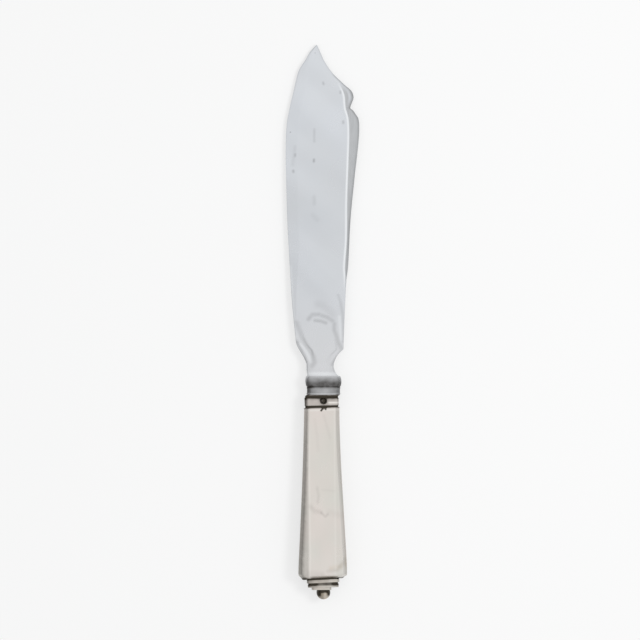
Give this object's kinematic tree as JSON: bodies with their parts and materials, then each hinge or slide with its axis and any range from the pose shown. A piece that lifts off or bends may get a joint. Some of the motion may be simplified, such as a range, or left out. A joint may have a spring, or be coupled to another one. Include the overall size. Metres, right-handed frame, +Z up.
{
  "type": "fish knife",
  "caption": "Fish serving knife with a scrolled steel blade cemented into a flared hollow silver handle that ends in stepped plates and a ball.",
  "frame": {"origin": "under the middle of the knife's box, on the surface that it lies on", "axes": "+Y along the knife to the tip of the blade, +Z up out of the face that the picture shows, +X towards the scrolled back of the blade"},
  "size_m": [0.0358, 0.27, 0.0134],
  "materials": {
    "blade_steel": "worn satin",
    "handle_silver": "worn warm silver, tarnished in its grooves",
    "bead_silver": "worn warm silver",
    "filling_cement": "hard matt cement"
  },
  "bodies": {
    "root": {"blade": "blade_steel", "collar": "handle_silver", "handle_front": "handle_silver", "handle_back": "handle_silver", "filling_cement": "filling_cement", "front_bead": "bead_silver", "back_bead": "bead_silver", "first_step": "handle_silver", "second_step": "handle_silver", "ball_finial": "bead_silver"}
  },
  "joints": []
}
